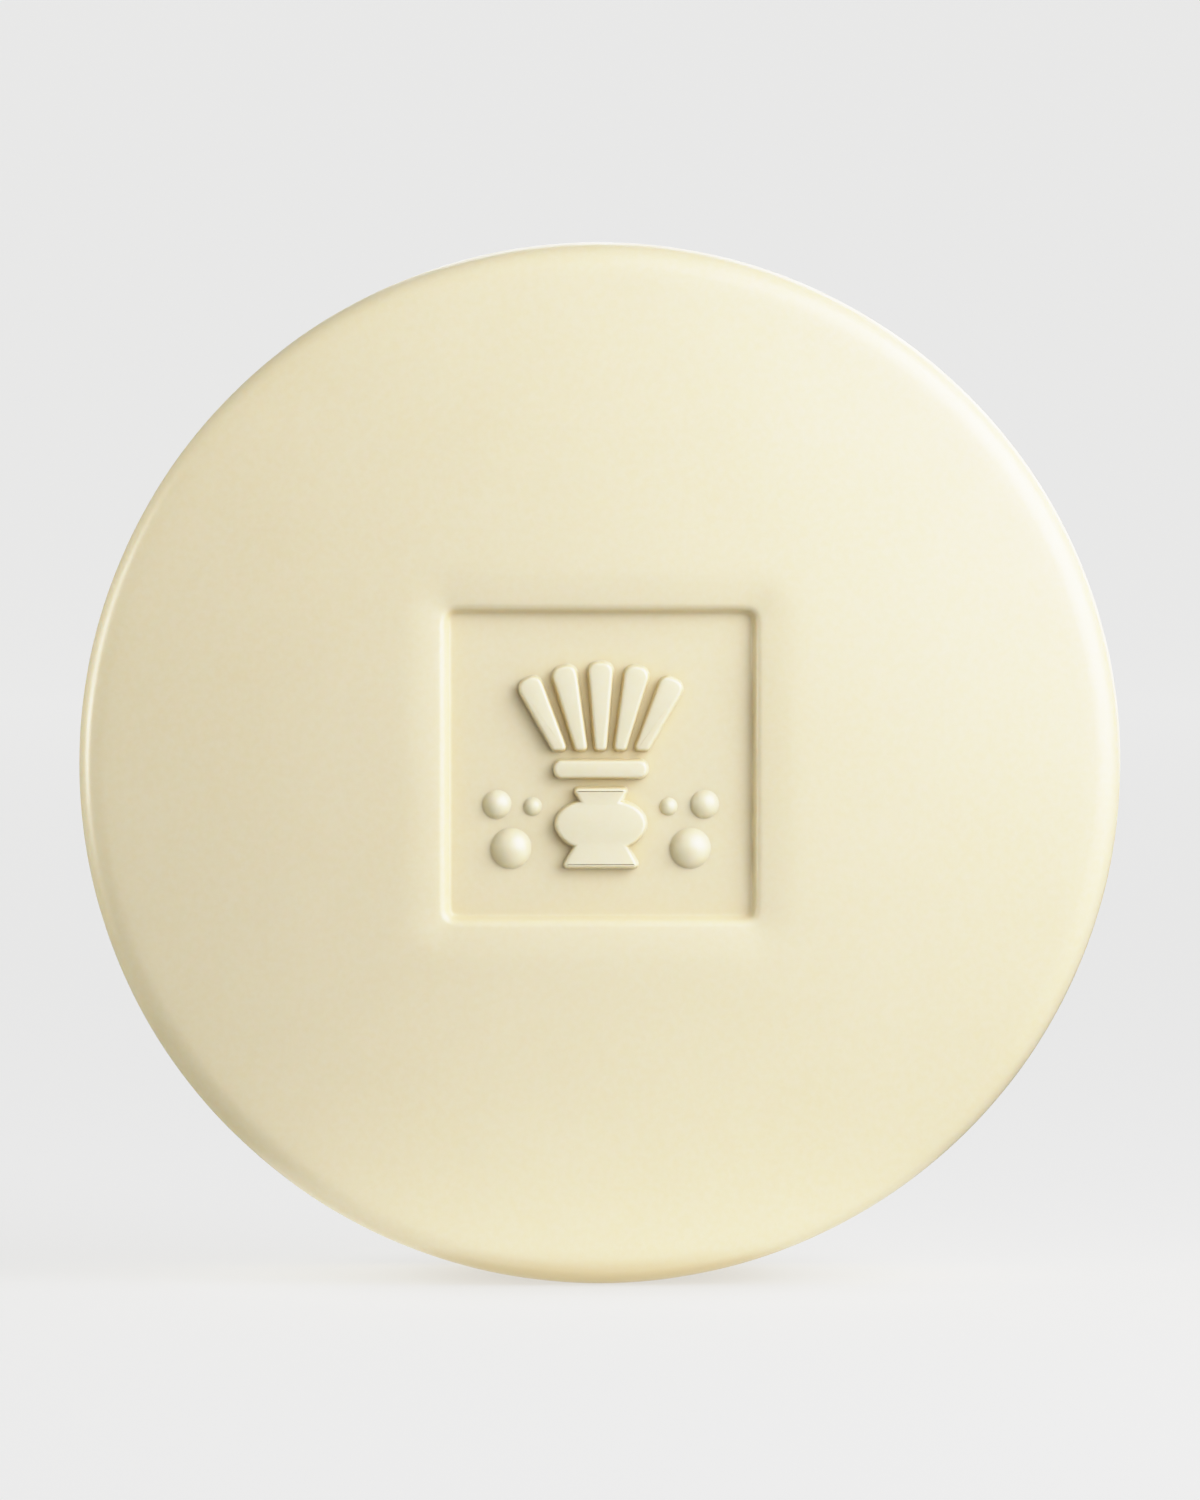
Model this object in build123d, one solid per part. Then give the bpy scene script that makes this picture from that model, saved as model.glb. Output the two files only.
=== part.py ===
from build123d import *
import math
import os

# Shaving soap puck: a round pressed cake of hard shaving soap, with a square stamped recess in its domed
# face and a small raised mark, a shaving brush among lather bubbles, on the floor of that recess.
#
# The puck stands on its rim. +Z is up, +X runs across the stamped face and that face looks along -Y. The
# origin is the point of the standing surface under the middle of the puck. Units are millimetres.
#
# Every piece is first drawn in the die's frame: X across the face, Y up it, Z out of it, with the centre
# of the flat back face at the origin. stand_on_rim then turns it to its place.

# Cake
puck_diameter = 70.0
puck_thickness = 24.0  # from the flat back face to the top of the crown
face_crown = 2.0  # how far the domed face rises from its edge to its middle
face_shoulder_radius = 1.5
back_shoulder_radius = 1.8

# Square stamped recess, centred on the face
recess_side = 20.3  # across its floor
recess_depth = 1.4  # from the top of the crown to the floor
recess_draft = 12.0  # degrees that each wall leans outwards
recess_corner_radius = 0.55
recess_lip_radius = 0.5
recess_floor_radius = 0.2  # where the walls meet the floor

# Raised mark on the recess floor
mark_end_clearance = 3.2  # from the floor's top and bottom edges to the mark
mark_relief = 0.8  # height of the mark above the floor
mark_draft = 8.0  # degrees that its walls lean inwards
mark_edge_radius = 0.22  # on its top edges
mark_gap = 0.5  # between the bristles, the collar and the handle

# Bristles: a fan of tufts
tuft_count = 5
tuft_root_radius = 5.6  # from the fan's centre to the foot of the tufts
tuft_spread = 60.0  # degrees from one side of the fan to the other
tuft_groove = 3.2  # degrees between two tufts
tuft_corner_radius = 0.3

# Collar and handle
collar_width = 6.4
collar_height = 1.35
handle_height = 5.5
handle_top_half_width = 2.1
handle_neck_half_width = 1.5
handle_bulb_half_width = 3.1
handle_foot_half_width = 2.8
handle_neck_height = 4.6  # of the narrow neck above the handle's foot
handle_ankle_height = 1.45  # of the narrow stretch under the bulb
handle_ankle_half_width = 1.9
handle_corner_radius = 0.3

# Lather bubbles, the same on both sides of the brush:
# radius, gap to the handle's bulb, height above the handle's foot
bubbles = (
    (1.35, 1.55, 0.0),
    (0.95, 2.9, 3.35),
    (0.6, 0.85, 3.55),
)
bubble_flatness = 0.62  # height of a bubble as a share of its radius

# Worked out
same_place = 1e-4  # places closer than this are the same
puck_radius = puck_diameter / 2
dome_radius = (puck_radius**2 + face_crown**2) / (2 * face_crown)
recess_floor_z = puck_thickness - recess_depth
mark_height = recess_side - 2 * mark_end_clearance
mark_foot = -mark_height / 2
collar_foot = mark_foot + handle_height + mark_gap
tuft_foot = collar_foot + collar_height + mark_gap
tuft_length = mark_height / 2 - tuft_foot


def edges_at_height(solid, height):
    """The edges of solid that lie wholly at one height in the die's frame."""
    level = [edge for edge in solid.edges() if edge.bounding_box().size.Z < same_place]
    return ShapeList([edge for edge in level if abs(edge.center().Z - height) < same_place])


def build_blank():
    """The cake before stamping: a straight rim, a flat back and a domed face, with round shoulders."""
    edge_z = puck_thickness - face_crown
    outline = Polyline((0, puck_thickness), (0, 0), (puck_radius, 0), (puck_radius, edge_z))
    dome = RadiusArc((puck_radius, edge_z), (0, puck_thickness), -dome_radius)
    profile = Plane.XZ * make_face([*outline.edges(), dome])
    blank = revolve(profile, Axis.Z)
    blank = fillet(edges_at_height(blank, edge_z), face_shoulder_radius)
    return fillet(edges_at_height(blank, 0), back_shoulder_radius)


def build_recess_die():
    """The block of the die that presses the recess: square, with drafted walls and round corners."""
    floor = Plane((0, 0, recess_floor_z)) * RectangleRounded(recess_side, recess_side, recess_corner_radius)
    die = extrude(floor, amount=2 * recess_depth, taper=-recess_draft)
    return fillet(edges_at_height(die, recess_floor_z), recess_floor_radius)


def build_soap_cake():
    """The cake with its recess, whose lip is rounded where the walls meet the domed face."""
    cake = build_blank() - build_recess_die()
    half_depth = recess_depth / 2
    high = [edge for edge in cake.edges() if edge.center().Z > recess_floor_z + half_depth]
    around_recess = [edge for edge in high if math.hypot(edge.center().X, edge.center().Y) < recess_side]
    lip = [edge for edge in around_recess if edge.bounding_box().size.Z < half_depth]
    return fillet(lip, recess_lip_radius)


def raise_from_floor(outline, corner_radius=0):
    """A raised island of the mark: outline on the recess floor, with drafted walls and soft top edges."""
    floor = Plane((0, 0, recess_floor_z))
    block = extrude(floor * outline, amount=mark_relief)
    walls = [face for face in block.faces() if abs(face.normal_at().Z) < same_place]
    island = draft(walls, floor, mark_draft)
    if corner_radius:
        upright = [edge for edge in island.edges() if edge.bounding_box().size.Z > mark_relief / 2]
        island = fillet(upright, corner_radius)
    return fillet(edges_at_height(island, recess_floor_z + mark_relief), mark_edge_radius)


def tuft_outline(index):
    """One tuft of the fan: a flat foot, two sides that point away from the fan's centre and a round tip."""
    centre = Vector(0, tuft_foot - tuft_root_radius)
    tip_radius = tuft_root_radius + tuft_length
    step = (tuft_spread + tuft_groove) / tuft_count
    left = math.radians(90 + tuft_spread / 2 - index * step)
    right = left - math.radians(step - tuft_groove)

    def foot_at(angle):
        return centre + Vector(tuft_root_radius / math.tan(angle), tuft_root_radius)

    def tip_at(angle):
        return centre + Vector(tip_radius * math.cos(angle), tip_radius * math.sin(angle))

    edges = [
        Line(foot_at(left), tip_at(left)),
        ThreePointArc(tip_at(left), tip_at((left + right) / 2), tip_at(right)),
        Line(tip_at(right), foot_at(right)),
        Line(foot_at(right), foot_at(left)),
    ]
    return make_face(edges)


def build_bristles():
    """The tufts of the brush, as separate raised islands."""
    return [raise_from_floor(tuft_outline(index), tuft_corner_radius) for index in range(tuft_count)]


def build_collar():
    """The band between bristles and handle, with round ends."""
    outline = Pos(0, collar_foot + collar_height / 2) * SlotOverall(collar_width, collar_height)
    return raise_from_floor(outline)


def handle_outline():
    """The turned handle seen from the side: a short flare, a neck, a bulb and a spreading foot."""
    top = mark_foot + handle_height
    neck = mark_foot + handle_neck_height
    ankle = mark_foot + handle_ankle_height
    bulb = (neck + ankle) / 2
    right_side = [
        Line((handle_top_half_width, top), (handle_neck_half_width, neck)),
        ThreePointArc(
            (handle_neck_half_width, neck), (handle_bulb_half_width, bulb), (handle_ankle_half_width, ankle)
        ),
        Line((handle_ankle_half_width, ankle), (handle_foot_half_width, mark_foot)),
    ]
    left_side = [edge.mirror(Plane.YZ) for edge in right_side]
    top_edge = Line((-handle_top_half_width, top), (handle_top_half_width, top))
    foot_edge = Line((-handle_foot_half_width, mark_foot), (handle_foot_half_width, mark_foot))
    return make_face([top_edge, *right_side, foot_edge, *left_side])


def build_handle():
    """The handle of the brush, as one raised island."""
    return raise_from_floor(handle_outline(), handle_corner_radius)


def build_bubble(radius, x, y):
    """One lather bubble: a cap of a sphere on the recess floor."""
    height = radius * bubble_flatness
    ball_radius = (radius**2 + height**2) / (2 * height)
    ball = Pos(x, y, recess_floor_z + height - ball_radius) * Sphere(ball_radius)
    above_floor = Plane((x, y, recess_floor_z)) * Box(
        4 * radius, 4 * radius, 4 * radius, align=(Align.CENTER, Align.CENTER, Align.MIN)
    )
    return ball & above_floor


def build_bubbles():
    """The bubbles on both sides of the brush."""
    caps = []
    for side in (-1, 1):
        for radius, gap, height in bubbles:
            x = side * (handle_bulb_half_width + gap + radius)
            y = mark_foot + height + radius
            caps.append(build_bubble(radius, x, y))
    return caps


def write_node(name, place, solids):
    """Moves the solids of one node to their place and writes them to parts/name.step."""
    placed = [place * solid for solid in solids]
    node = placed[0] if len(placed) == 1 else Compound(children=placed)
    export_step(node, f"parts/{name}.step")


soap_cake = build_soap_cake()
overall_thickness = soap_cake.bounding_box().size.Z  # a little less than at the crown, which is pressed in
stand_on_rim = Location((0, overall_thickness / 2, puck_radius), (90, 0, 0))

nodes = {
    "soap_cake": [soap_cake],
    "mark_bristles": build_bristles(),
    "mark_collar": [build_collar()],
    "mark_handle": [build_handle()],
    "mark_bubbles": build_bubbles(),
}

os.makedirs("parts", exist_ok=True)
for name, solids in nodes.items():
    write_node(name, stand_on_rim, solids)
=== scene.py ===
"""A puck of shaving soap, standing on its rim on a pale studio floor.

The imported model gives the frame: metres, +Z up, the stamped face looking along -Y. The cake and the
islands of its raised mark are modelled here anew, each in the space of its own node.
"""

import logging
import math
from collections.abc import Callable, Iterator
from contextlib import contextmanager
from dataclasses import dataclass
from enum import Enum

import bmesh
import bpy
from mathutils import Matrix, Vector


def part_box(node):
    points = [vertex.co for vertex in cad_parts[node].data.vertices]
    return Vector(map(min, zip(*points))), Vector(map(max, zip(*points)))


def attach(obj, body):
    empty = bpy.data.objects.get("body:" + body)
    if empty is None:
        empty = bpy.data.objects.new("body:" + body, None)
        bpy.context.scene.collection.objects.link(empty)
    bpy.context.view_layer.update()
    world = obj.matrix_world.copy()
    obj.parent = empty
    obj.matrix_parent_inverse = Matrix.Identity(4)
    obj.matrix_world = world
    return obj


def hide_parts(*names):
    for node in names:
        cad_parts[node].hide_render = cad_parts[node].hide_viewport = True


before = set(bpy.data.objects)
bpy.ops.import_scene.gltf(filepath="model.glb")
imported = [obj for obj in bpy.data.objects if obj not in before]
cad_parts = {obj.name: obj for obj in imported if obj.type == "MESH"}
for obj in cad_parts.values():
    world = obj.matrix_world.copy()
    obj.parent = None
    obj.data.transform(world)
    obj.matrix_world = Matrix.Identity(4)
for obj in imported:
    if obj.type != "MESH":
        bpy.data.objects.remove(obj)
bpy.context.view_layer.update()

MM = 0.001
BODY = "root"
FACING = (math.pi / 2, 0.0, 0.0)  # turns a primitive's +Z to -Y, the way the stamped face looks
SAME_PLACE = 0.01 * MM  # places closer than this are the same
MERGED = 0.0005 * MM  # vertices closer than this are merged
ALL_CHANNELS = 3  # the tone curve that holds for red, green and blue together

log = logging.getLogger("soap_puck")

Step = tuple[float, float]  # how far a profile goes inwards, and how far up or down


class Part(Enum):
    """What an edit-mode selection is made of."""

    VERTS = "VERT"
    EDGES = "EDGE"
    FACES = "FACE"


class Way(Enum):
    """Which way along Y a profile moves a face."""

    INTO_SOAP = 1
    OUT_OF_SOAP = -1


class Blank:
    """A mesh on the bench, shaped with edit-mode operators and finished with applied modifiers."""

    def __init__(self, name: str) -> None:
        """Takes up the primitive that was added last, with its place moved into its mesh.

        Args:
            name: the piece's name.
        """
        self.piece = bpy.context.object
        self.piece.name = name
        self.piece.data.name = name
        bpy.ops.object.transform_apply(location=True, rotation=True, scale=True)

    def copy(self, move: tuple[float, float, float]) -> "Blank":
        """Copies the piece, mesh and all, and moves the copy.

        Args:
            move: how far along X, Y and Z.

        Returns:
            The copy on the bench.
        """
        bpy.ops.object.select_all(action="DESELECT")
        self.piece.select_set(True)
        bpy.context.view_layer.objects.active = self.piece
        bpy.ops.object.duplicate()
        bpy.ops.transform.translate(value=move)
        return Blank(bpy.context.object.name)

    @contextmanager
    def edit(self) -> Iterator[None]:
        """Opens the piece alone in edit mode, with nothing selected, and closes it afterwards."""
        bpy.ops.object.select_all(action="DESELECT")
        self.piece.select_set(True)
        bpy.context.view_layer.objects.active = self.piece
        bpy.ops.object.mode_set(mode="EDIT")
        bpy.ops.mesh.select_all(action="DESELECT")
        yield
        bpy.ops.object.mode_set(mode="OBJECT")

    def mesh(self) -> bmesh.types.BMesh:
        """The mesh as it is in edit mode."""
        return bmesh.from_edit_mesh(self.piece.data)

    def pick(self, part: Part, test: Callable[..., bool]) -> None:
        """Selects what passes a test, and nothing else.

        Args:
            part: whether vertices, edges or faces are tested.
            test: takes one element and says whether it is wanted.
        """
        bpy.ops.mesh.select_mode(type=part.value)
        bpy.ops.mesh.select_all(action="DESELECT")
        mesh = self.mesh()
        mesh.normal_update()
        elements = {Part.VERTS: mesh.verts, Part.EDGES: mesh.edges, Part.FACES: mesh.faces}[part]
        for element in [element for element in elements if test(element)]:
            element.select_set(True)
        mesh.select_flush_mode()
        bmesh.update_edit_mesh(self.piece.data)

    def pick_border(self) -> None:
        """Selects the loop of edges where the mesh is still open."""
        self.pick(Part.EDGES, lambda edge: edge.is_boundary)

    def picked_places(self) -> list[Vector]:
        """Where the selected vertices are."""
        return [vertex.co.copy() for vertex in self.mesh().verts if vertex.select]

    def walk(self, steps: list[Step], way: Way) -> None:
        """Insets the selected face step by step, so that the surface round it follows a profile.

        Args:
            steps: how far each goes inwards and how far it moves the face.
            way: which way it moves.
        """
        for inwards, move in steps:
            bpy.ops.mesh.inset(thickness=inwards, depth=0, use_even_offset=True)
            bpy.ops.transform.translate(value=(0, way.value * move, 0))

    def modify(self, kind: str, **settings: object) -> None:
        """Adds one modifier and applies it.

        Args:
            kind: the modifier's type.
            settings: its properties.
        """
        bpy.context.view_layer.objects.active = self.piece
        modifier = self.piece.modifiers.new(kind.lower(), kind)
        for name, value in settings.items():
            setattr(modifier, name, value)
        bpy.ops.object.modifier_apply(modifier=modifier.name)

    def subdivide(self, levels: int) -> None:
        """Smooths the mesh as a subdivision surface.

        Args:
            levels: how many times each face is split.
        """
        self.modify("SUBSURF", levels=levels, render_levels=levels)

    def close_and_smooth(self) -> None:
        """Merges what coincides, turns all faces outwards and shades them smooth."""
        with self.edit():
            bpy.ops.mesh.select_all(action="SELECT")
            bpy.ops.mesh.remove_doubles(threshold=MERGED)
            bpy.ops.mesh.normals_make_consistent(inside=False)
        bpy.ops.object.shade_smooth()


def start_with(primitive: Callable[..., object], name: str, **settings: object) -> Blank:
    """Adds a primitive with nothing else selected.

    Args:
        primitive: the operator that adds it.
        name: the piece's name.
        settings: the operator's size and place.

    Returns:
        The new piece on the bench.
    """
    bpy.ops.object.select_all(action="DESELECT")
    primitive(**settings)
    return Blank(name)


def arc_steps(radius: float, first: float, last: float, count: int) -> list[Step]:
    """Divides a round stretch of a profile.

    Args:
        radius: of the arc.
        first: its slope where it starts, in radians from level.
        last: its slope where it ends.
        count: how many steps it gets.

    Returns:
        How far each step goes inwards and how far up or down.
    """
    slopes = [first + (last - first) * step / count for step in range(count + 1)]
    places = [(radius * math.sin(slope), radius * math.cos(slope)) for slope in slopes]
    return [
        (abs(after[0] - before[0]), abs(after[1] - before[1]))
        for before, after in zip(places, places[1:])
    ]


def totals(steps: list[Step]) -> Step:
    """How far some steps go together, inwards and up or down."""
    return sum(step[0] for step in steps), sum(step[1] for step in steps)


def direction(turn: float, lift: float) -> Vector:
    """Works out a direction as seen from the puck.

    Args:
        turn: degrees to the right of the way that the stamped face looks.
        lift: degrees above level.

    Returns:
        The direction, one metre long.
    """
    turn, lift = math.radians(turn), math.radians(lift)
    return Vector((math.sin(turn) * math.cos(lift), -math.cos(turn) * math.cos(lift), math.sin(lift)))


@dataclass(frozen=True)
class SoapFinish:
    """Hard cream soap: satin, faintly mottled, a little translucent, with painted shade in its hollows.
    """

    name: str = "cream_soap"
    cream: tuple[float, float, float] = (0.88, 0.775, 0.49)
    deep_cream: tuple[float, float, float] = (0.865, 0.755, 0.455)
    bloom: tuple[float, float, float] = (0.92, 0.84, 0.62)
    # Painted shade: hollows darken and warm towards this colour, by ambient occlusion.
    painted_shade_cream: tuple[float, float, float] = (0.74, 0.60, 0.31)
    painted_shade_reach: float = 2.6 * MM
    painted_shade_openness: float = 0.4  # how open a place is where the painted shade is full
    painted_shade_samples: int = 6
    mottle_size: float = 16 * MM
    grain_size: float = 0.45 * MM
    ripple_size: float = 2.6 * MM
    pattern_roughness: float = 0.55
    pattern_low: float = 0.3  # the part of a pattern's range that is stretched over its full effect
    pattern_high: float = 0.7
    bloom_share: float = 0.35
    smoothest: float = 0.34
    roughest: float = 0.44
    ior: float = 1.46
    sheen: float = 1.0
    translucency: float = 0.35
    scatter_depth: float = 0.9 * MM
    scatter_by_colour: tuple[float, float, float] = (1.0, 0.72, 0.42)
    grain_height: float = 0.006 * MM
    ripple_height: float = 0.012 * MM

    def _noise(self, tree: bpy.types.NodeTree, size: float, detail: float) -> bpy.types.NodeSocket:
        """Adds a noise pattern on the piece's own coordinates.

        Args:
            tree: the material's nodes.
            size: how large a patch of the pattern is.
            detail: how many finer layers it has.

        Returns:
            The pattern's value.
        """
        where = tree.nodes.new("ShaderNodeTexCoord")
        noise = tree.nodes.new("ShaderNodeTexNoise")
        noise.inputs["Scale"].default_value = 1 / size
        noise.inputs["Detail"].default_value = detail
        noise.inputs["Roughness"].default_value = self.pattern_roughness
        tree.links.new(where.outputs["Object"], noise.inputs["Vector"])
        return noise.outputs["Fac"]

    def _spread(
        self, tree: bpy.types.NodeTree, value: bpy.types.NodeSocket, low: float, high: float
    ) -> bpy.types.NodeSocket:
        """Stretches the middle of a pattern over a range.

        Args:
            tree: the material's nodes.
            value: the pattern.
            low: what its low end becomes.
            high: what its high end becomes.

        Returns:
            The stretched value.
        """
        stretch = tree.nodes.new("ShaderNodeMapRange")
        stretch.inputs["From Min"].default_value = self.pattern_low
        stretch.inputs["From Max"].default_value = self.pattern_high
        stretch.inputs["To Min"].default_value = low
        stretch.inputs["To Max"].default_value = high
        tree.links.new(value, stretch.inputs["Value"])
        return stretch.outputs["Result"]

    def _mix(
        self,
        tree: bpy.types.NodeTree,
        share: bpy.types.NodeSocket,
        first: bpy.types.NodeSocket | tuple[float, float, float],
        second: tuple[float, float, float],
    ) -> bpy.types.NodeSocket:
        """Blends two colours by a pattern.

        Args:
            tree: the material's nodes.
            share: how much of the second colour shows.
            first: the first colour, or a socket that gives it.
            second: the second colour.

        Returns:
            The blended colour.
        """
        mix = tree.nodes.new("ShaderNodeMix")
        mix.data_type = "RGBA"
        tree.links.new(share, mix.inputs["Factor"])
        colours = {socket.name: socket for socket in mix.inputs if socket.type == "RGBA"}
        if isinstance(first, tuple):
            colours["A"].default_value = (*first, 1)
        else:
            tree.links.new(first, colours["A"])
        colours["B"].default_value = (*second, 1)
        return next(socket for socket in mix.outputs if socket.type == "RGBA")

    def _paint_shade_in_hollows(
        self, tree: bpy.types.NodeTree, surface: bpy.types.NodeSocket
    ) -> bpy.types.NodeSocket:
        """Darkens and warms the colour in hollows, by ambient occlusion: painted shade.

        Args:
            tree: the material's nodes.
            surface: the colour elsewhere.

        Returns:
            The colour with painted shade in its hollows.
        """
        hollow = tree.nodes.new("ShaderNodeAmbientOcclusion")
        hollow.samples = self.painted_shade_samples
        hollow.inputs["Distance"].default_value = self.painted_shade_reach
        share = tree.nodes.new("ShaderNodeMapRange")
        share.inputs["From Min"].default_value = 1
        share.inputs["From Max"].default_value = self.painted_shade_openness
        tree.links.new(hollow.outputs["AO"], share.inputs["Value"])
        return self._mix(tree, share.outputs["Result"], surface, self.painted_shade_cream)

    def _bump(
        self,
        tree: bpy.types.NodeTree,
        pattern: bpy.types.NodeSocket,
        height: float,
        under: bpy.types.NodeSocket | None,
    ) -> bpy.types.NodeSocket:
        """Raises a pattern as fine relief.

        Args:
            tree: the material's nodes.
            pattern: the relief's height, from 0 to 1.
            height: its full height.
            under: the relief that this one lies on, if any.

        Returns:
            The bent normal.
        """
        bump = tree.nodes.new("ShaderNodeBump")
        bump.inputs["Strength"].default_value = 1.0
        bump.inputs["Distance"].default_value = height
        tree.links.new(pattern, bump.inputs["Height"])
        if under is not None:
            tree.links.new(under, bump.inputs["Normal"])
        return bump.outputs["Normal"]

    def material(self) -> bpy.types.Material:
        """Makes the material once and gives the same one after that.

        Returns:
            The soap material.
        """
        if self.name in bpy.data.materials:
            return bpy.data.materials[self.name]
        material = bpy.data.materials.new(self.name)
        material.use_nodes = True
        tree = material.node_tree
        shader = tree.nodes["Principled BSDF"]

        mottle = self._noise(tree, self.mottle_size, detail=3)
        grain = self._noise(tree, self.grain_size, detail=2)
        ripple = self._noise(tree, self.ripple_size, detail=3)
        body = self._mix(tree, self._spread(tree, mottle, 0, 1), self.cream, self.deep_cream)
        surface = self._mix(tree, self._spread(tree, grain, 0, self.bloom_share), body, self.bloom)
        # The base colour darkens in hollows: painted shade.
        tree.links.new(self._paint_shade_in_hollows(tree, surface), shader.inputs["Base Color"])
        rough = self._spread(tree, ripple, self.smoothest, self.roughest)
        tree.links.new(rough, shader.inputs["Roughness"])
        waves = self._bump(tree, ripple, self.ripple_height, None)
        tree.links.new(self._bump(tree, grain, self.grain_height, waves), shader.inputs["Normal"])

        shader.inputs["IOR"].default_value = self.ior
        shader.inputs["Specular IOR Level"].default_value = self.sheen
        shader.inputs["Subsurface Weight"].default_value = self.translucency
        shader.inputs["Subsurface Radius"].default_value = self.scatter_by_colour
        shader.inputs["Subsurface Scale"].default_value = self.scatter_depth
        return material

    def dress(self, piece: bpy.types.Object, *nodes: str) -> None:
        """Gives a piece this finish and its place in the frame.

        Args:
            piece: the finished mesh.
            nodes: the CAD nodes that it stands for.
        """
        piece.data.materials.clear()
        piece.data.materials.append(self.material())
        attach(piece, BODY)
        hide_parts(*nodes)


PRESSED_SOAP = SoapFinish()
PAINTED_LIGHT_SOAP = SoapFinish(  # a paler copy, on what stands proud of the recess floor: painted light for its raised tops
    name="painted_light_cream_soap",
    cream=(0.91, 0.82, 0.55),
    deep_cream=(0.9, 0.805, 0.525),
    bloom=(0.93, 0.86, 0.65),
)


@dataclass(frozen=True)
class Ring:
    """One loop of the cake's face: its mean distance from the middle and how near it is to a circle."""

    radius: float
    roundness: float


@dataclass
class SoapCake:
    """The pressed cake: domed face with a square recess, round shoulders, straight rim and flat back."""

    thickness: float = 24.0 * MM
    crown: float = 2.0 * MM
    face_shoulder: float = 1.5 * MM
    back_shoulder: float = 1.8 * MM
    recess_half: float = 10.15 * MM
    recess_depth: float = 1.4 * MM
    wall_slope: float = math.radians(78)
    corner_radius: float = 0.3 * MM
    lip_radius: float = 0.6 * MM
    foot_radius: float = 0.22 * MM
    sink_run: float = 2.3 * MM
    sink_depth: float = 0.13 * MM
    sink_count: int = 5
    lip_count: int = 7
    foot_count: int = 4
    shoulder_count: int = 8
    corner_steps: int = 6
    side_steps: int = 30
    seam_half_width: float = 0.35 * MM
    seam_height: float = 0.07 * MM
    front_land: tuple[float, ...] = (0.35, 0.7)  # rings on the rim, as shares of the way to the seam
    back_land: tuple[float, ...] = (0.3, 0.65)  # rings on the rim, as shares of the way from the seam
    unevenness: float = 0.07 * MM
    uneven_patch: float = 13 * MM
    uneven_layers: int = 2
    face_rings: tuple[Ring, ...] = (
        Ring(16.4 * MM, 0.2),
        Ring(18.8 * MM, 0.45),
        Ring(21.8 * MM, 0.7),
        Ring(25.0 * MM, 1.0),
        Ring(28.4 * MM, 1.0),
        Ring(31.4 * MM, 1.0),
        Ring(33.2 * MM, 1.0),
    )
    back_rings: tuple[float, ...] = (32.6 * MM, 29.0 * MM, 24.5 * MM, 19.5 * MM, 14.5 * MM)

    def __post_init__(self) -> None:
        """Reads the cake's place from the frame."""
        low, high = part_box("soap_cake")
        self.centre = (low + high) / 2
        self.radius = (high.x - low.x) / 2
        self.back = high.y
        self.crown_top = self.back - self.thickness
        self.floor = self.crown_top + self.recess_depth
        self.rim = self.crown_top + self.crown

    def _sink_steps(self) -> list[Step]:
        """Works out the gentle sinking of the face around the recess, steeper towards the lip.

        Returns:
            How far each step goes inwards and down.
        """
        shares = [step / self.sink_count for step in range(self.sink_count + 1)]
        return [
            (self.sink_run / self.sink_count, self.sink_depth * (after**2 - before**2))
            for before, after in zip(shares, shares[1:])
        ]

    def _lip_steps(self) -> list[Step]:
        """The round lip, from the slope of the sunk face to that of the wall."""
        sunk_slope = 2 * self.sink_depth / self.sink_run
        return arc_steps(self.lip_radius, sunk_slope, self.wall_slope, self.lip_count)

    def _foot_steps(self) -> list[Step]:
        """The round foot of the wall."""
        return arc_steps(self.foot_radius, self.wall_slope, 0, self.foot_count)

    def _bends(self) -> list[Step]:
        """All of the way down into the recess but the straight part of its wall."""
        return [*self._sink_steps(), *self._lip_steps(), *self._foot_steps()]

    def _wall_run(self) -> float:
        """How far the straight part of the wall goes inwards."""
        return (self.recess_depth - totals(self._bends())[1]) / math.tan(self.wall_slope)

    def _from_axis(self, place: Vector) -> float:
        """How far a place is from the puck's axis."""
        return math.hypot(place.x - self.centre.x, place.z - self.centre.z)

    def _grow(self, radius: float, depth: float, roundness: float = 0.0) -> None:
        """Extrudes the selected loop into the next ring.

        Args:
            radius: the new loop's mean distance from the axis.
            depth: where along Y it lies.
            roundness: how far it goes from its shape towards a circle, from 0 to 1.
        """
        bpy.ops.mesh.extrude_edges_move()
        places = self.blank.picked_places()
        scale = radius * len(places) / sum(self._from_axis(place) for place in places)
        bpy.ops.transform.resize(value=(scale, 1, scale), center_override=self.centre)
        bpy.ops.transform.translate(value=(0, depth - places[0].y, 0))
        if roundness:
            bpy.ops.transform.tosphere(value=roundness)

    def _lay_face(self) -> None:
        """Lays the middle of the face, a square with round corners, and spreads it to the rim."""
        level_half = self.recess_half - self.foot_radius * math.tan(self.wall_slope / 2)
        run = totals(self._bends())[0] + self._wall_run()
        self.blank = start_with(
            bpy.ops.mesh.primitive_plane_add,
            "soap_cake_body",
            size=2 * (level_half + run),
            location=(self.centre.x, self.crown_top, self.centre.z),
            rotation=FACING,
        )
        with self.blank.edit():
            bpy.ops.mesh.select_all(action="SELECT")
            bpy.ops.mesh.bevel(
                offset=self.corner_radius + run, segments=self.corner_steps, affect="VERTICES"
            )
            self.blank.pick(Part.EDGES, lambda edge: edge.calc_length() > self.recess_half)
            bpy.ops.mesh.subdivide(number_cuts=self.side_steps - 1)
            bpy.ops.mesh.select_all(action="SELECT")
            bpy.ops.mesh.delete(type="ONLY_FACE")
            bpy.ops.mesh.select_all(action="SELECT")
            for ring in self.face_rings:
                self._grow(ring.radius, self.crown_top, ring.roundness)
            self._grow(self.radius, self.crown_top, 1.0)

    def _dome_face(self) -> None:
        """Bends the flat face into a dome."""
        dome_radius = (self.radius**2 + self.crown**2) / (2 * self.crown)
        bpy.ops.object.empty_add(location=(self.centre.x, self.crown_top + dome_radius, self.centre.z))
        middle = bpy.context.object
        self.blank.modify(
            "CAST",
            cast_type="SPHERE",
            object=middle,
            factor=1.0,
            use_radius_as_size=False,
            size=dome_radius,
            use_x=False,
            use_y=True,
            use_z=False,
        )
        bpy.data.objects.remove(middle)

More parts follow.
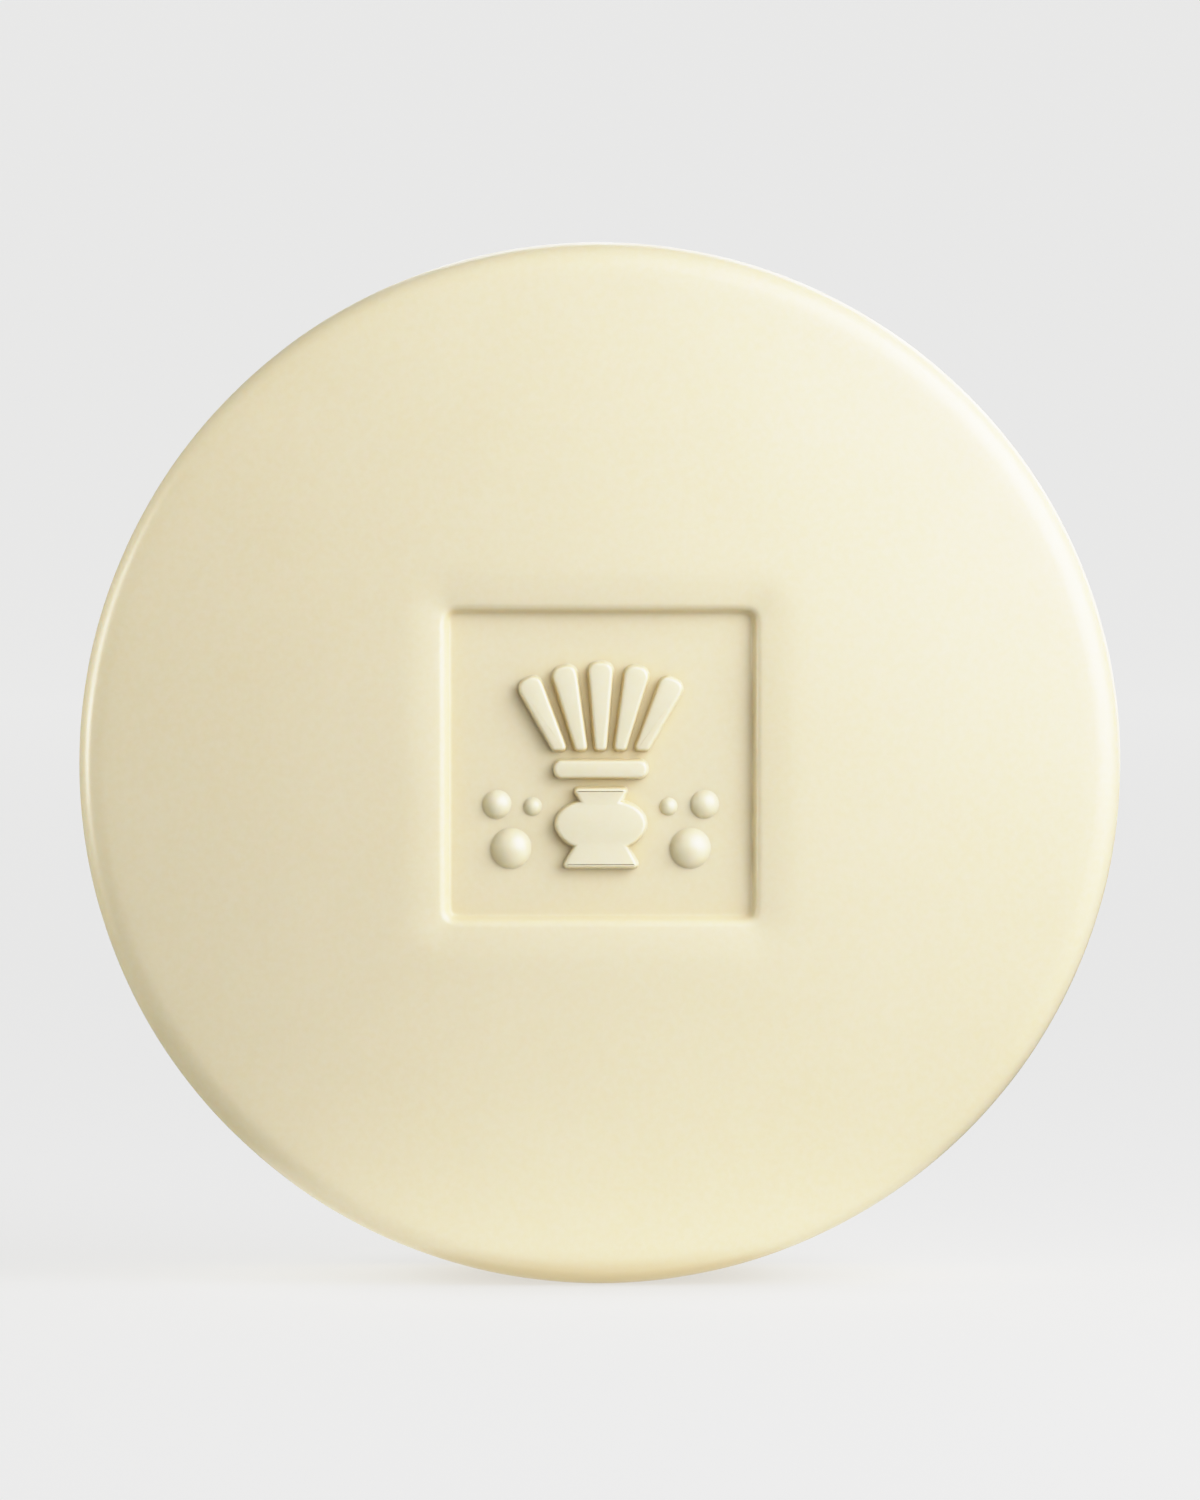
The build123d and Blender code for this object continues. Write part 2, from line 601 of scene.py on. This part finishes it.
    def _draw_rim_and_back(self) -> None:
        """Draws the rim back from the face, with its faint seam, and closes the flat back."""
        middle = (self.rim + self.back) / 2
        seam = [
            (middle - 2 * self.seam_half_width, 0.0),
            (middle - self.seam_half_width / 2, self.seam_height),
            (middle + self.seam_half_width / 2, self.seam_height),
            (middle + 2 * self.seam_half_width, 0.0),
        ]
        front_land = [(self.rim + share * (middle - self.rim), 0.0) for share in self.front_land]
        back_land = [(middle + share * (self.back - middle), 0.0) for share in self.back_land]
        last_ring = self.face_rings[-1].radius

        def on_outer_border(edge: bmesh.types.BMEdge) -> bool:
            """Whether an edge is part of the open border at the rim."""
            return edge.is_boundary and self._from_axis(edge.verts[0].co) > last_ring

        with self.blank.edit():
            self.blank.pick(Part.EDGES, on_outer_border)
            for depth, proud in [*front_land, *seam, *back_land, (self.back, 0.0)]:
                self._grow(self.radius + proud, depth)
            for radius in self.back_rings:
                self._grow(radius, self.back)
            self._fill()

    def _fill(self) -> None:
        """Fills the selected loop with a square grid, its corners in the middle of the round corners."""
        bpy.ops.mesh.fill_grid(span=self.side_steps + self.corner_steps, offset=self.corner_steps // 2)

    def _press_recess(self) -> None:
        """Presses the square recess into the middle of the face."""
        with self.blank.edit():
            self.blank.pick_border()
            bpy.ops.mesh.edge_face_add()
            self.blank.walk(self._sink_steps() + self._lip_steps(), Way.INTO_SOAP)
            bpy.ops.mesh.inset(thickness=self._wall_run(), depth=0, use_even_offset=True)
            foot_steps = self._foot_steps()
            foot_top = self.floor - totals(foot_steps)[1]
            level = (self.centre.x, foot_top, self.centre.z)
            bpy.ops.transform.resize(value=(1, 0, 1), center_override=level)
            self.blank.walk(foot_steps, Way.INTO_SOAP)
            bpy.ops.mesh.delete(type="ONLY_FACE")
            self.blank.pick_border()
            self._fill()

    def _round_shoulder(self, radius: float, depth: float) -> None:
        """Rounds one end of the rim.

        Args:
            radius: how far the rounding reaches on each side.
            depth: where the sharp edge lies along Y.
        """

        def on_edge(edge: bmesh.types.BMEdge) -> bool:
            """Whether an edge is part of the sharp one."""
            return all(
                abs(vertex.co.y - depth) < SAME_PLACE
                and self._from_axis(vertex.co) > self.radius - SAME_PLACE
                for vertex in edge.verts
            )

        with self.blank.edit():
            self.blank.pick(Part.EDGES, on_edge)
            bpy.ops.mesh.bevel(offset=radius, segments=self.shoulder_count, profile=0.5)

    def _make_uneven(self) -> None:
        """Gives the pressed surface its slight unevenness."""
        waves = bpy.data.textures.new("press_marks", "CLOUDS")
        waves.noise_scale = self.uneven_patch
        waves.noise_depth = self.uneven_layers
        self.blank.modify(
            "DISPLACE", texture=waves, texture_coords="LOCAL", strength=self.unevenness, mid_level=0.5
        )

    def build(self) -> bpy.types.Object:
        """Models the cake.

        Returns:
            The finished mesh.
        """
        self._lay_face()
        self._dome_face()
        self._draw_rim_and_back()
        self._round_shoulder(self.face_shoulder, self.rim)
        self._round_shoulder(self.back_shoulder, self.back)
        self._press_recess()
        self.blank.close_and_smooth()
        self.blank.subdivide(1)
        self._make_uneven()
        self.blank.close_and_smooth()
        return self.blank.piece

    def dress(self, finish: SoapFinish) -> None:
        """Finishes the cake in soap.

        Args:
            finish: the soap.
        """
        finish.dress(self.blank.piece, "soap_cake")


@dataclass(frozen=True)
class Bubble:
    """A lather bubble: its radius, gap to the handle's bulb and height above the handle's foot."""

    radius: float
    gap: float
    height: float


@dataclass
class BrushMark:
    """The raised mark on the recess floor: a shaving brush among lather bubbles, as soft islands."""

    floor: float
    centre: Vector
    relief: float = 0.8 * MM
    sunk: float = 0.12 * MM  # how deep the islands go into the cake
    foot_radius: float = 0.07 * MM
    edge_radius: float = 0.22 * MM
    wall_slope: float = math.radians(82)
    corner_radius: float = 0.42 * MM
    foot_count: int = 3
    edge_count: int = 5
    corner_count: int = 6
    tuft_count: int = 5
    root_radius: float = 5.6 * MM
    spread: float = math.radians(60)
    groove: float = math.radians(3.2)
    tip_corner: float = 0.8 * MM
    neck_height: float = 4.6 * MM
    ankle_height: float = 1.45 * MM
    top_half: float = 2.1 * MM
    neck_half: float = 1.5 * MM
    bulb_half: float = 3.1 * MM
    ankle_half: float = 1.9 * MM
    foot_half: float = 2.8 * MM
    bulb_steps: int = 16
    bulb_sharpness: float = 1.5  # power of the sine curve that swells the bulb
    collar_fullness: float = 0.92  # how round the collar's ends are, as a share of full rounds
    bubbles: tuple[Bubble, ...] = (
        Bubble(1.35 * MM, 1.55 * MM, 0.0),
        Bubble(0.95 * MM, 2.9 * MM, 3.35 * MM),
        Bubble(0.6 * MM, 0.85 * MM, 3.55 * MM),
    )
    bubble_flatness: float = 0.62  # height of a bubble as a share of its radius
    bubble_top: float = 0.03  # slope, in radians, where a bubble's cap ends in one small face
    bubble_sides: int = 48
    bubble_steps: int = 12

    def __post_init__(self) -> None:
        """Works out how far the round foot of an island grows its outline."""
        self.skirt = self.foot_radius * math.tan(self.wall_slope / 2)
        self.pieces: dict[str, bpy.types.Object] = {}

    def _island_steps(self) -> list[Step]:
        """Works out the profile of an island, from the floor up over its round edge.

        Returns:
            How far each step goes inwards and up.
        """
        foot = arc_steps(self.foot_radius, 0, self.wall_slope, self.foot_count)
        edge = arc_steps(self.edge_radius, self.wall_slope, 0, self.edge_count)
        height = self.relief - totals(foot)[1] - totals(edge)[1]
        return [*foot, (height / math.tan(self.wall_slope), height), *edge]

    def _raise(self, blank: Blank, steps: list[Step]) -> None:
        """Raises a flat outline from under the floor into an island.

        Args:
            blank: the outline, as one face in the plane of the floor.
            steps: its profile above the floor.
        """
        with blank.edit():
            bpy.ops.mesh.select_all(action="SELECT")
            bpy.ops.transform.translate(value=(0, self.sunk, 0))
            bpy.ops.mesh.extrude_region_move(TRANSFORM_OT_translate={"value": (0, -self.sunk, 0)})
            blank.walk(steps, Way.OUT_OF_SOAP)
        blank.close_and_smooth()

    def _flat(self, name: str, width: float, low: float, high: float) -> Blank:
        """Adds a rectangle in the plane of the floor.

        Args:
            name: the piece's name.
            width: its width.
            low: the height of its lower edge.
            high: the height of its upper edge.

        Returns:
            The rectangle on the bench.
        """
        middle = (self.centre.x, self.floor, (low + high) / 2)
        blank = start_with(
            bpy.ops.mesh.primitive_plane_add, name, size=1, location=middle, rotation=FACING
        )
        with blank.edit():
            bpy.ops.mesh.select_all(action="SELECT")
            bpy.ops.transform.resize(value=(width, 1, high - low), center_override=middle)
        return blank

    def _round_corners(self, blank: Blank, radius: float, test: Callable[[Vector], bool]) -> None:
        """Rounds some corners of a flat outline, one by one, all to the same radius.

        Args:
            blank: the outline.
            radius: of its corners.
            test: says whether a corner's place is one of them.
        """
        with blank.edit():
            corners = [vertex.co.copy() for vertex in blank.mesh().verts if test(vertex.co)]
            for corner in corners:
                blank.pick(Part.VERTS, lambda vertex: (vertex.co - corner).length < SAME_PLACE)
                vertex = next(vertex for vertex in blank.mesh().verts if vertex.select)
                sides = [edge.other_vert(vertex).co - vertex.co for edge in vertex.link_edges]
                reach = radius / math.tan(sides[0].angle(sides[1]) / 2)
                bpy.ops.mesh.bevel(offset=reach, segments=self.corner_count, affect="VERTICES")

    def _keep(self, blanks: list[Blank], name: str, node: str) -> None:
        """Joins finished islands into the piece that stands for one node.

        Args:
            blanks: the islands.
            name: the piece's name.
            node: the CAD node's name.
        """
        bpy.ops.object.select_all(action="DESELECT")
        for blank in blanks:
            blank.piece.select_set(True)
        bpy.context.view_layer.objects.active = blanks[0].piece
        if len(blanks) > 1:
            bpy.ops.object.join()
        piece = blanks[0].piece
        piece.name = name
        piece.data.name = name
        self.pieces[node] = piece

    def _build_tufts(self) -> None:
        """Cuts each tuft from a turned, tapered strip and raises it."""
        low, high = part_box("mark_bristles")
        fan_centre = Vector((self.centre.x, self.floor, low.z - self.root_radius))
        tip_radius = high.z - fan_centre.z
        pitch = (self.spread + self.groove) / self.tuft_count
        half_angle = (pitch - self.groove) / 2
        foot_line = low.z - self.skirt
        start_radius = self.root_radius / 2
        tufts = []
        for index in range(self.tuft_count):
            turn = (index - (self.tuft_count - 1) / 2) * pitch
            tip_half = tip_radius * math.sin(half_angle) + self.skirt
            start, end = fan_centre.z + start_radius, high.z + self.skirt
            blank = self._flat(f"tuft_{index + 1}", 2 * tip_half, start, end)
            start_half = start_radius * math.sin(half_angle) + self.skirt
            with blank.edit():
                blank.pick(Part.VERTS, lambda vertex: vertex.co.z < self.centre.z)
                bpy.ops.transform.resize(value=(start_half / tip_half, 1, 1), center_override=fan_centre)
                bpy.ops.mesh.select_all(action="SELECT")
                bpy.ops.transform.rotate(value=turn, orient_axis="Y", center_override=fan_centre)
                bpy.ops.mesh.bisect(
                    plane_co=(0, 0, foot_line), plane_no=(0, 0, 1), clear_inner=True, use_fill=False
                )
            self._round_corners(blank, self.corner_radius, lambda co: co.z < foot_line + SAME_PLACE)
            self._round_corners(blank, self.tip_corner, lambda co: co.z > (low.z + high.z) / 2)
            self._raise(blank, self._island_steps())
            tufts.append(blank)
        self._keep(tufts, "mark_bristle_tufts", "mark_bristles")

    def _build_collar(self) -> None:
        """Raises the collar, with round ends."""
        low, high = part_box("mark_collar")
        width = high.x - low.x + 2 * self.skirt
        blank = self._flat("collar", width, low.z - self.skirt, high.z + self.skirt)
        end_radius = (high.z - low.z) / 2 + self.skirt
        self._round_corners(blank, end_radius * self.collar_fullness, lambda co: True)
        self._raise(blank, self._island_steps())
        self._keep([blank], "mark_collar_band", "mark_collar")

    def _build_handle(self) -> None:
        """Draws the turned handle level by level from its foot and raises it."""
        low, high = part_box("mark_handle")
        ankle, neck = low.z + self.ankle_height, low.z + self.neck_height
        levels = []
        for step in range(self.bulb_steps + 1):
            turn = math.pi * step / self.bulb_steps
            height = (ankle + neck) / 2 - (neck - ankle) / 2 * math.cos(turn)
            waist = self.ankle_half + (self.neck_half - self.ankle_half) * step / self.bulb_steps
            swell = math.sin(turn) ** self.bulb_sharpness
            levels.append((height, waist + (self.bulb_half - waist) * swell))
        levels.append((high.z + self.skirt, self.top_half))
        foot = low.z - self.skirt
        half = self.foot_half + self.skirt
        blank = self._flat("handle", 2 * half, foot, levels[0][0])
        with blank.edit():
            blank.pick(
                Part.EDGES, lambda edge: all(vertex.co.z > foot + SAME_PLACE for vertex in edge.verts)
            )
            for index, (height, wanted) in enumerate(levels):
                if index:
                    climb = height - levels[index - 1][0]
                    bpy.ops.mesh.extrude_edges_move(TRANSFORM_OT_translate={"value": (0, 0, climb)})
                scale = (wanted + self.skirt) / half
                bpy.ops.transform.resize(value=(scale, 1, 1), center_override=self.centre)
                half = wanted + self.skirt
        corners = (foot + SAME_PLACE, high.z + self.skirt - SAME_PLACE)
        self._round_corners(blank, self.corner_radius, lambda co: not corners[0] < co.z < corners[1])
        self._raise(blank, self._island_steps())
        self._keep([blank], "mark_handle_shape", "mark_handle")

    def _build_bubbles(self) -> None:
        """Raises the bubbles on one side of the brush and copies each to the other side."""
        low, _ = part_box("mark_bubbles")
        slope = 2 * math.atan(self.bubble_flatness)
        foot = arc_steps(self.foot_radius, 0, slope, self.foot_count)
        skirt = self.foot_radius * math.tan(slope / 2)
        islands = []
        for bubble in self.bubbles:
            out = self.bulb_half + bubble.gap + bubble.radius
            ball = bubble.radius / math.sin(slope)
            cap_foot = math.asin((bubble.radius + skirt - totals(foot)[0]) / ball)
            cap = arc_steps(ball, cap_foot, self.bubble_top, self.bubble_steps)
            island = start_with(
                bpy.ops.mesh.primitive_circle_add,
                "bubble",
                vertices=self.bubble_sides,
                radius=bubble.radius + skirt,
                fill_type="NGON",
                location=(self.centre.x - out, self.floor, low.z + bubble.height + bubble.radius),
                rotation=FACING,
            )
            self._raise(island, [*foot, *cap])
            islands += [island, island.copy((2 * out, 0, 0))]
        self._keep(islands, "mark_lather_bubbles", "mark_bubbles")

    def build(self) -> dict[str, bpy.types.Object]:
        """Models the whole mark.

        Returns:
            The finished meshes, by the node that each stands for.
        """
        self._build_tufts()
        self._build_collar()
        self._build_handle()
        self._build_bubbles()
        return self.pieces

    def dress(self, finish: SoapFinish) -> None:
        """Finishes the mark in soap.

        Args:
            finish: the soap.
        """
        for node, piece in self.pieces.items():
            finish.dress(piece, node)


def light_group(name: str, pieces: list[bpy.types.Object]) -> bpy.types.Collection:
    """Makes the group of objects that one light falls on.

    Args:
        name: the light's name.
        pieces: the objects.

    Returns:
        The group.
    """
    group = bpy.data.collections.new(f"lit_by_{name}")
    for piece in pieces:
        group.objects.link(piece)
    return group


@dataclass
class Softbox:
    """A soft light round the puck: its turn and lift in degrees, and its distance, size and power."""

    name: str
    turn: float
    lift: float
    distance: float
    width: float
    height: float
    power: float
    colour: tuple[float, float, float]
    flagged: bool = True  # kept off the paper

    def hang(self, target: Vector, subjects: list[bpy.types.Object]) -> None:
        """Hangs the light so that it points at a place.

        Args:
            target: where it points.
            subjects: all that a flagged light falls on.
        """
        away = direction(self.turn, self.lift)
        bpy.ops.object.light_add(type="AREA", location=target + away * self.distance)
        lamp = bpy.context.object
        lamp.name = self.name
        lamp.rotation_euler = away.to_track_quat("Z", "Y").to_euler()
        lamp.data.shape = "RECTANGLE"
        lamp.data.size = self.width
        lamp.data.size_y = self.height
        lamp.data.energy = self.power
        lamp.data.color = self.colour
        lamp.visible_camera = False
        if self.flagged:
            lamp.light_linking.receiver_collection = light_group(self.name, subjects)


@dataclass
class Studio:
    """The pale cove round the puck, its lights and the camera."""

    floor_radius: float = 1.4
    cove_radius: float = 0.4
    wall_height: float = 0.9
    cove_sides: int = 128
    cove_steps: int = 16
    table_sides: int = 96
    camera_distance: float = 0.85
    camera_turn: float = -0.8  # degrees, as are a softbox's turn and lift
    camera_lift: float = 1.8
    view_height: float = 101.66 * MM
    aim_above_centre: float = 0.655 * MM
    aim_beside_centre: float = 0.114 * MM
    camera_sees_from: float = 0.01
    sensor: float = 36.0
    shoulder: float = 0.65  # the brightness from which tones are held back
    brightest: float = 2.4
    shoulder_steps: int = 7
    paper: tuple[float, float, float] = (0.3, 0.3, 0.29)
    paper_roughness: float = 0.9
    paper_gloss: float = 0.2
    painted_shadow_glow: float = 0.52  # of the paper under the puck, lower as a painted contact shadow
    open_glow: float = 0.7
    painted_shadow_radius: float = 0.028  # how far from the middle the painted shadow reaches, past which the paper glows in full
    table_radius: float = 0.03
    table_lift: float = 0.02 * MM
    sky: tuple[float, float, float] = (1.0, 1.0, 1.0)
    sky_strength: float = 0.08
    softboxes: tuple[Softbox, ...] = (
        Softbox("key", 35, 25, 0.24, width=0.24, height=0.24, power=0.53, colour=(1.0, 1.0, 1.06)),
        Softbox(
            "right_side",
            62,
            24,
            0.3,
            width=0.26,
            height=0.3,
            power=0.75,
            colour=(1.0, 1.0, 1.08),
            flagged=False,
        ),
        Softbox("left_strip", -90, -4, 0.4, width=0.14, height=0.4, power=2.2, colour=(1.0, 0.98, 0.93)),
        Softbox("back_fill", 165, 20, 0.5, width=0.4, height=0.4, power=1.4, colour=(1.0, 1.0, 1.0)),
    )

    def _paper_material(self) -> bpy.types.Material:
        """Makes the matt, glowing paper of the cove, which glows less under the puck: a painted contact
        shadow.

        Returns:
            The material.
        """
        material = bpy.data.materials.new("backdrop_paper")
        material.use_nodes = True
        tree = material.node_tree
        shader = tree.nodes["Principled BSDF"]
        shader.inputs["Base Color"].default_value = (*self.paper, 1)
        shader.inputs["Roughness"].default_value = self.paper_roughness
        shader.inputs["Specular IOR Level"].default_value = self.paper_gloss
        shader.inputs["Emission Color"].default_value = (1, 1, 1, 1)
        where = tree.nodes.new("ShaderNodeTexCoord")
        reach = tree.nodes.new("ShaderNodeVectorMath")
        reach.operation = "LENGTH"
        # Less glow near the middle: a painted contact shadow under the puck.
        glow = tree.nodes.new("ShaderNodeMapRange")
        glow.interpolation_type = "SMOOTHSTEP"
        glow.inputs["From Max"].default_value = self.painted_shadow_radius
        glow.inputs["To Min"].default_value = self.painted_shadow_glow
        glow.inputs["To Max"].default_value = self.open_glow
        tree.links.new(where.outputs["Object"], reach.inputs[0])
        tree.links.new(reach.outputs["Value"], glow.inputs["Value"])
        tree.links.new(glow.outputs["Result"], shader.inputs["Emission Strength"])
        return material

    def build_cove(self) -> None:
        """Turns a round floor with walls that rise from it, and lays the paper under the puck.

        The cove's glow falls on the paper alone, so that it doesn't flatten the puck's shading.
        """
        cove = start_with(
            bpy.ops.mesh.primitive_circle_add,
            "studio_cove",
            vertices=self.cove_sides,
            radius=self.floor_radius,
            fill_type="NGON",
        )
        bend = math.pi / 2 / self.cove_steps
        with cove.edit():
            cove.pick_border()
            radius = self.floor_radius
            for step in range(1, self.cove_steps + 1):
                wanted = self.floor_radius + self.cove_radius * math.sin(step * bend)
                rise = self.cove_radius * (math.cos((step - 1) * bend) - math.cos(step * bend))
                bpy.ops.mesh.extrude_edges_move()
                scale = wanted / radius
                bpy.ops.transform.resize(value=(scale, scale, 1), center_override=(0, 0, 0))
                bpy.ops.transform.translate(value=(0, 0, rise))
                radius = wanted
            bpy.ops.mesh.extrude_edges_move()
            bpy.ops.transform.translate(value=(0, 0, self.wall_height))
        bpy.ops.object.shade_smooth()
        # A small disc of the same paper under the puck, which shows the painted contact shadow.
        table = start_with(
            bpy.ops.mesh.primitive_circle_add,
            "studio_table",
            vertices=self.table_sides,
            radius=self.table_radius,
            fill_type="NGON",
            location=(0, 0, self.table_lift),
        )
        paper = self._paper_material()
        for blank in (cove, table):
            blank.piece.data.materials.append(paper)
        cove.piece.light_linking.receiver_collection = light_group("cove", [cove.piece, table.piece])

    def light(self, target: Vector, subjects: list[bpy.types.Object]) -> None:
        """Lights the puck.

        Args:
            target: the middle of the puck.
            subjects: its pieces.
        """
        world = bpy.data.worlds.new("studio_air")
        bpy.context.scene.world = world
        world.use_nodes = True
        air = world.node_tree.nodes["Background"]
        air.inputs["Color"].default_value = (*self.sky, 1)
        air.inputs["Strength"].default_value = self.sky_strength
        for softbox in self.softboxes:
            softbox.hang(target, subjects)

    def place_camera(self, target: Vector) -> None:
        """Sets up the camera in front of the stamped face.

        Args:
            target: the middle of the puck.
        """
        away = direction(self.camera_turn, self.camera_lift)
        aim = target + Vector((self.aim_beside_centre, 0, self.aim_above_centre))
        bpy.ops.object.camera_add(location=aim + away * self.camera_distance)
        camera = bpy.context.object
        camera.name = "camera"
        camera.rotation_euler = away.to_track_quat("Z", "Y").to_euler()
        camera.data.sensor_width = self.sensor
        camera.data.lens = self.sensor * self.camera_distance / self.view_height
        camera.data.clip_start = self.camera_sees_from
        bpy.context.scene.camera = camera

    def set_tones(self) -> None:
        """Shows light as it falls, with a soft shoulder for the brightest tones."""
        view = bpy.context.scene.view_settings
        view.view_transform = "Standard"
        view.look = "None"
        view.exposure = 0.0
        view.use_curve_mapping = True
        curve = view.curve_mapping.curves[ALL_CHANNELS]
        view.curve_mapping.clip_max_x = self.brightest
        room = 1 - self.shoulder
        curve.points[-1].location = (self.shoulder, self.shoulder)
        for step in range(1, self.shoulder_steps + 1):
            light = self.shoulder + (self.brightest - self.shoulder) * step / self.shoulder_steps
            tone = self.shoulder + room * (1 - math.exp(-(light - self.shoulder) / room))
            curve.points.new(light, tone)
        view.curve_mapping.update()


def main() -> None:
    """Builds the puck and its studio, and reports each piece."""
    logging.basicConfig(level=logging.INFO, format="%(message)s")
    cake = SoapCake()
    piece = cake.build()
    cake.dress(PRESSED_SOAP)
    log.info("%s: %d faces", piece.name, len(piece.data.polygons))
    mark = BrushMark(cake.floor, cake.centre)
    for island in mark.build().values():
        log.info("%s: %d faces", island.name, len(island.data.polygons))
    # The raised mark gets the paler copy of the soap, painted light for its raised tops.
    mark.dress(PAINTED_LIGHT_SOAP)
    studio = Studio()
    studio.build_cove()
    studio.light(cake.centre, [piece, *mark.pieces.values()])
    studio.place_camera(cake.centre)
    studio.set_tones()


if __name__ == "__main__":
    main()
